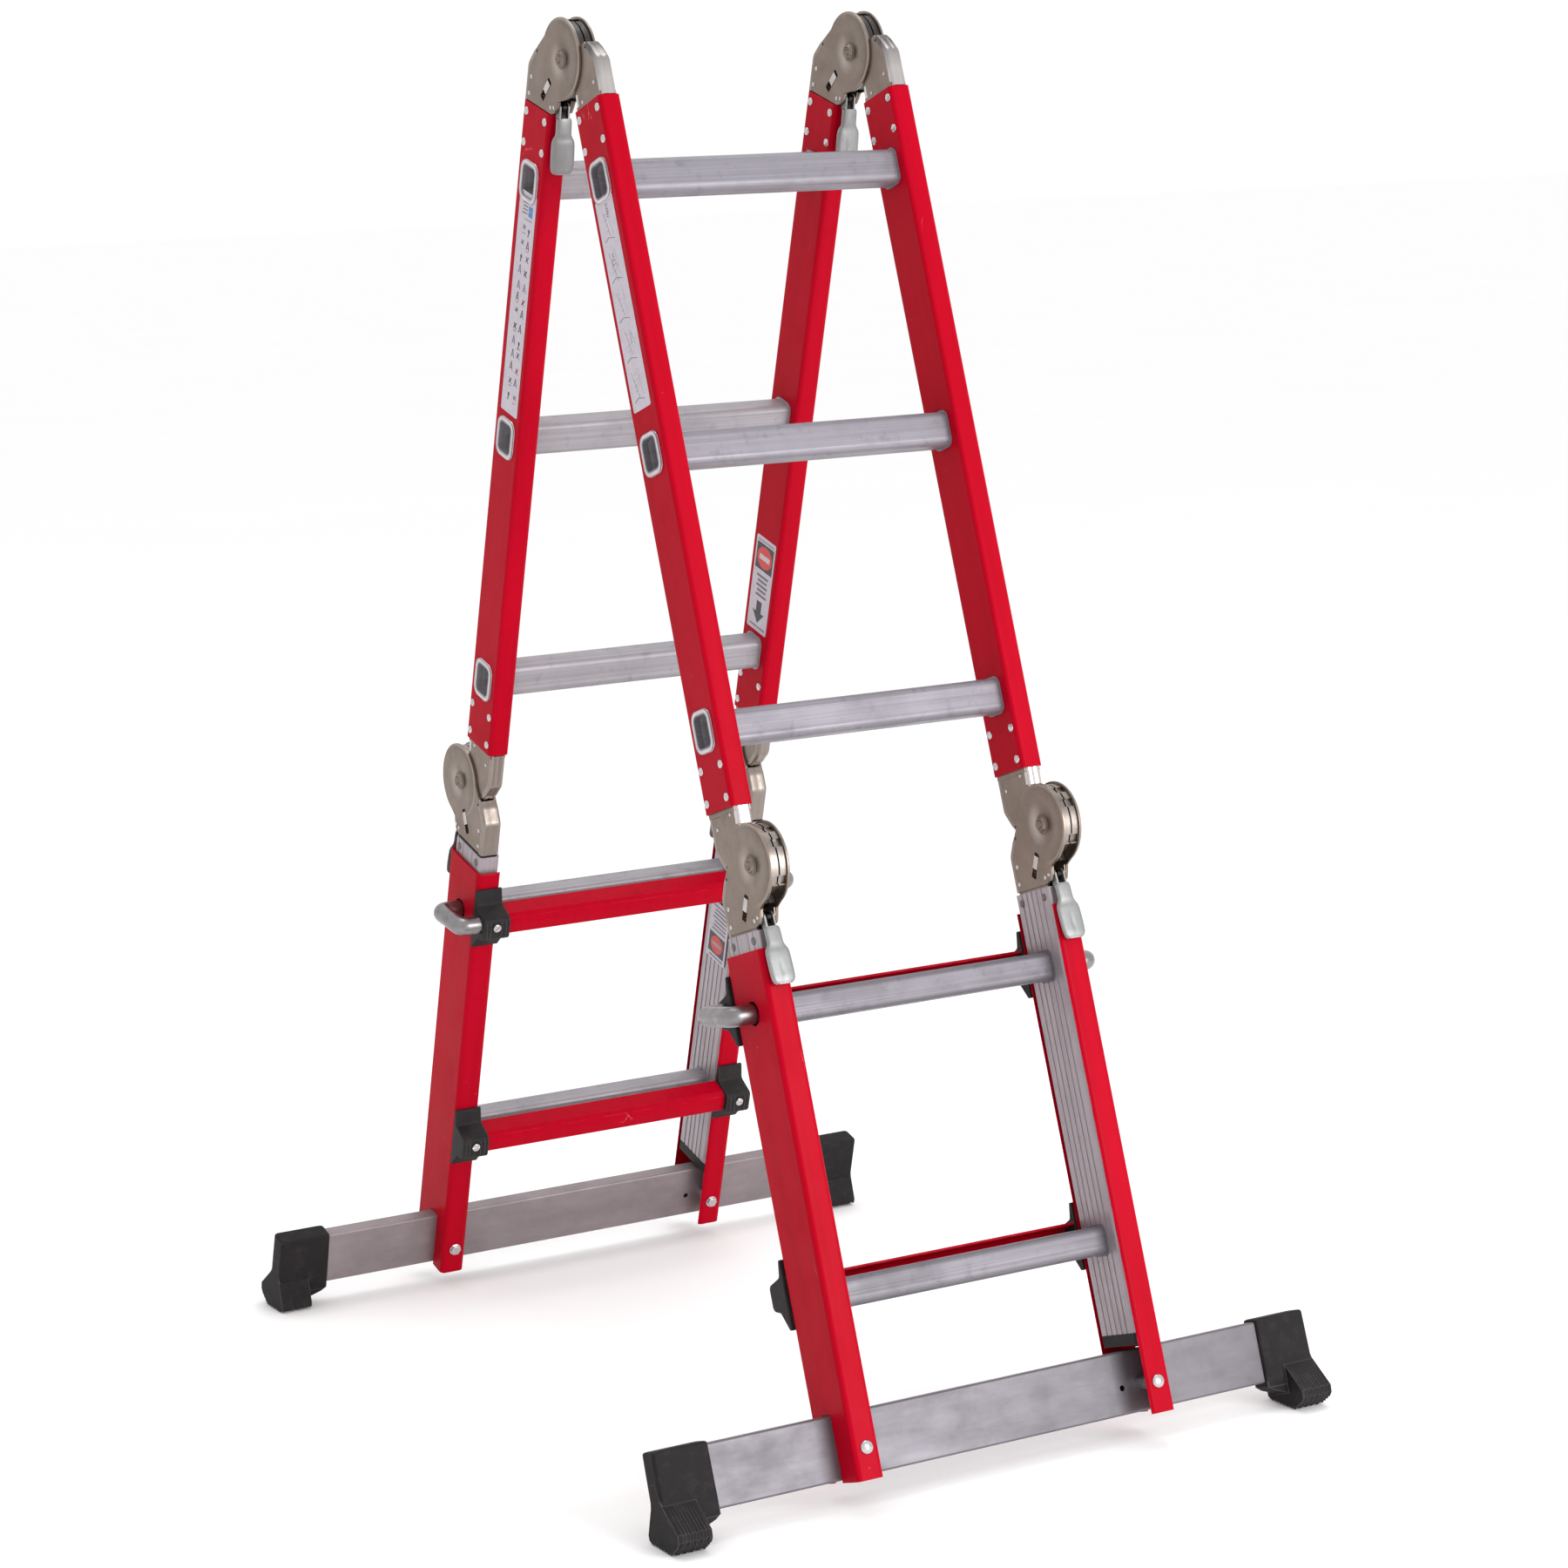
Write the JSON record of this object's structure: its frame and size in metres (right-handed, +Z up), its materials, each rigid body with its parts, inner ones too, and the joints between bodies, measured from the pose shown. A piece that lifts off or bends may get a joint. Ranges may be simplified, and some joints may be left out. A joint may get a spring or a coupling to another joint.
{
  "type": "multi position folding ladder",
  "caption": "Folding ladder shown as a stepladder: hinged legs with locking disc hinges, tube rungs, pinned sliding leg extensions and wide stabilizer bars on rubber feet",
  "frame": {"origin": "centre of the footprint on the floor, as stored standing open", "axes": "X across the ladder, Y from the front leg to the rear leg, Z up"},
  "size_m": [0.8112, 1.0878, 1.5265],
  "materials": {
    "red_paint": "satin powder coat",
    "ribbed_aluminium": "extruded, lengthwise ribs",
    "aluminium": "brushed extrusion",
    "hinge_steel": "satin nickel plate",
    "pin_steel": "satin",
    "zinc_lever": "zinc plate",
    "bright_steel": "bright zinc plate",
    "galvanised_steel": "galvanised",
    "fastener_steel": "bright",
    "black_plastic": "matte moulded",
    "black_rubber": "matte moulded",
    "spring_steel": "blackened wire"
  },
  "bodies": {
    "front_upper": {"front_upper_left_stile": "red_paint", "front_upper_right_stile": "red_paint", "front_upper_rungs": "aluminium", "front_upper_rivets": "fastener_steel", "top_hinge_inner_arms": "hinge_steel", "front_hinge_inner_arms": "hinge_steel"},
    "rear_upper": {"rear_upper_left_stile": "red_paint", "rear_upper_right_stile": "red_paint", "rear_upper_rungs": "aluminium", "rear_upper_rivets": "fastener_steel", "top_hinge_outer_arms": "hinge_steel", "top_hinge_pins": "pin_steel", "rear_hinge_inner_arms": "hinge_steel", "top_lever_springs": "spring_steel"},
    "front_lower": {"front_lower_left_stile": "ribbed_aluminium", "front_lower_right_stile": "ribbed_aluminium", "front_lower_rungs": "aluminium", "front_lower_end_caps": "black_plastic", "front_lower_rivets": "fastener_steel", "front_hinge_outer_arms": "hinge_steel", "front_hinge_pins": "pin_steel", "front_lever_springs": "spring_steel"},
    "front_extension": {"front_extension_left_stile": "red_paint", "front_extension_right_stile": "red_paint", "front_extension_rungs": "red_paint", "front_extension_brackets": "black_plastic", "front_extension_fasteners": "fastener_steel", "front_stabilizer_bar": "aluminium", "front_stabilizer_feet": "black_rubber"},
    "rear_lower": {"rear_lower_left_stile": "ribbed_aluminium", "rear_lower_right_stile": "ribbed_aluminium", "rear_lower_rungs": "aluminium", "rear_lower_end_caps": "black_plastic", "rear_lower_rivets": "fastener_steel", "rear_hinge_outer_arms": "hinge_steel", "rear_hinge_pins": "pin_steel", "rear_lever_springs": "spring_steel"},
    "rear_extension": {"rear_extension_left_stile": "red_paint", "rear_extension_right_stile": "red_paint", "rear_extension_rungs": "red_paint", "rear_extension_brackets": "black_plastic", "rear_extension_fasteners": "fastener_steel", "rear_stabilizer_bar": "aluminium", "rear_stabilizer_feet": "black_rubber"},
    "top_release_left": {"top_release_lever_left": "zinc_lever"},
    "top_bolt_left": {"top_lock_bar_left": "bright_steel"},
    "top_release_right": {"top_release_lever_right": "zinc_lever"},
    "top_bolt_right": {"top_lock_bar_right": "bright_steel"},
    "front_release_left": {"front_release_lever_left": "zinc_lever"},
    "front_bolt_left": {"front_lock_bar_left": "bright_steel"},
    "front_release_right": {"front_release_lever_right": "zinc_lever"},
    "front_bolt_right": {"front_lock_bar_right": "bright_steel"},
    "rear_release_left": {"rear_release_lever_left": "zinc_lever"},
    "rear_bolt_left": {"rear_lock_bar_left": "bright_steel"},
    "rear_release_right": {"rear_release_lever_right": "zinc_lever"},
    "rear_bolt_right": {"rear_lock_bar_right": "bright_steel"},
    "front_handle_left": {"front_lock_pin_left": "galvanised_steel"},
    "front_handle_right": {"front_lock_pin_right": "galvanised_steel"},
    "rear_handle_left": {"rear_lock_pin_left": "galvanised_steel"},
    "rear_handle_right": {"rear_lock_pin_right": "galvanised_steel"}
  },
  "joints": [
    {"name": "top_hinge", "type": "hinge", "parent": "front_upper", "child": "rear_upper", "pos_m": [0, 0, 1.482], "axis": [1, 0, 0], "range_deg": [-28, 144.8]},
    {"name": "front_middle_hinge", "type": "hinge", "parent": "front_upper", "child": "front_lower", "pos_m": [0, -0.35334, 0.64989], "axis": [-1, 0, 0], "range_deg": [0, 172]},
    {"name": "rear_middle_hinge", "type": "hinge", "parent": "rear_upper", "child": "rear_lower", "pos_m": [0, 0.35334, 0.64989], "axis": [1, 0, 0], "range_deg": [0, 172]},
    {"name": "front_extension_slide", "type": "slide", "parent": "front_lower", "child": "front_extension", "axis": [0, -0.3024, -0.9532], "range_m": [0, 0.3]},
    {"name": "rear_extension_slide", "type": "slide", "parent": "rear_lower", "child": "rear_extension", "axis": [0, -0.3024, 0.9532], "range_m": [-0.3, 0]},
    {"name": "top_lever_left", "type": "hinge", "parent": "rear_upper", "child": "top_release_left", "pos_m": [-0.18025, 0.02044, 1.43078], "axis": [-1, 0, 0], "range_deg": [-6, 8]},
    {"name": "top_lock_left", "type": "slide", "parent": "rear_upper", "child": "top_bolt_left", "axis": [0, 0.7727, -0.6347], "range_m": [-0.0028, 0.0038]},
    {"name": "top_lever_right", "type": "hinge", "parent": "rear_upper", "child": "top_release_right", "pos_m": [0.18025, 0.02044, 1.43078], "axis": [-1, 0, 0], "range_deg": [-6, 8]},
    {"name": "top_lock_right", "type": "slide", "parent": "rear_upper", "child": "top_bolt_right", "axis": [0, 0.7727, -0.6347], "range_m": [-0.0028, 0.0038]},
    {"name": "front_lever_left", "type": "hinge", "parent": "front_lower", "child": "front_release_left", "pos_m": [-0.18025, -0.36616, 0.59626], "axis": [1, 0, 0], "range_deg": [-8, 6]},
    {"name": "front_lock_left", "type": "slide", "parent": "front_lower", "child": "front_bolt_left", "axis": [0, 0.2656, -0.9641], "range_m": [-0.0028, 0.0038]},
    {"name": "front_lever_right", "type": "hinge", "parent": "front_lower", "child": "front_release_right", "pos_m": [0.18025, -0.36616, 0.59626], "axis": [1, 0, 0], "range_deg": [-8, 6]},
    {"name": "front_lock_right", "type": "slide", "parent": "front_lower", "child": "front_bolt_right", "axis": [0, 0.2656, -0.9641], "range_m": [-0.0028, 0.0038]},
    {"name": "rear_lever_left", "type": "hinge", "parent": "rear_lower", "child": "rear_release_left", "pos_m": [-0.18025, 0.36616, 0.59626], "axis": [-1, 0, 0], "range_deg": [-8, 6]},
    {"name": "rear_lock_left", "type": "slide", "parent": "rear_lower", "child": "rear_bolt_left", "axis": [0, -0.2656, -0.9641], "range_m": [-0.0028, 0.0038]},
    {"name": "rear_lever_right", "type": "hinge", "parent": "rear_lower", "child": "rear_release_right", "pos_m": [0.18025, 0.36616, 0.59626], "axis": [-1, 0, 0], "range_deg": [-8, 6]},
    {"name": "rear_lock_right", "type": "slide", "parent": "rear_lower", "child": "rear_bolt_right", "axis": [0, -0.2656, -0.9641], "range_m": [-0.0028, 0.0038]},
    {"name": "front_pin_left", "type": "slide", "parent": "front_extension", "child": "front_handle_left", "axis": [1, 0, 0], "range_m": [-0.012, 0.011]},
    {"name": "front_pin_right", "type": "slide", "parent": "front_extension", "child": "front_handle_right", "axis": [-1, 0, 0], "range_m": [-0.012, 0.011]},
    {"name": "rear_pin_left", "type": "slide", "parent": "rear_extension", "child": "rear_handle_left", "axis": [1, 0, 0], "range_m": [-0.012, 0.011]},
    {"name": "rear_pin_right", "type": "slide", "parent": "rear_extension", "child": "rear_handle_right", "axis": [-1, 0, 0], "range_m": [-0.012, 0.011]}
  ],
  "couplings": [
    {"joint": "top_lock_left", "follows": "top_lever_left", "m_per_rad": 0.0266},
    {"joint": "top_lock_right", "follows": "top_lever_right", "m_per_rad": 0.0266},
    {"joint": "front_lock_left", "follows": "front_lever_left", "m_per_rad": -0.0266},
    {"joint": "front_lock_right", "follows": "front_lever_right", "m_per_rad": -0.0266},
    {"joint": "rear_lock_left", "follows": "rear_lever_left", "m_per_rad": -0.0266},
    {"joint": "rear_lock_right", "follows": "rear_lever_right", "m_per_rad": -0.0266}
  ]
}
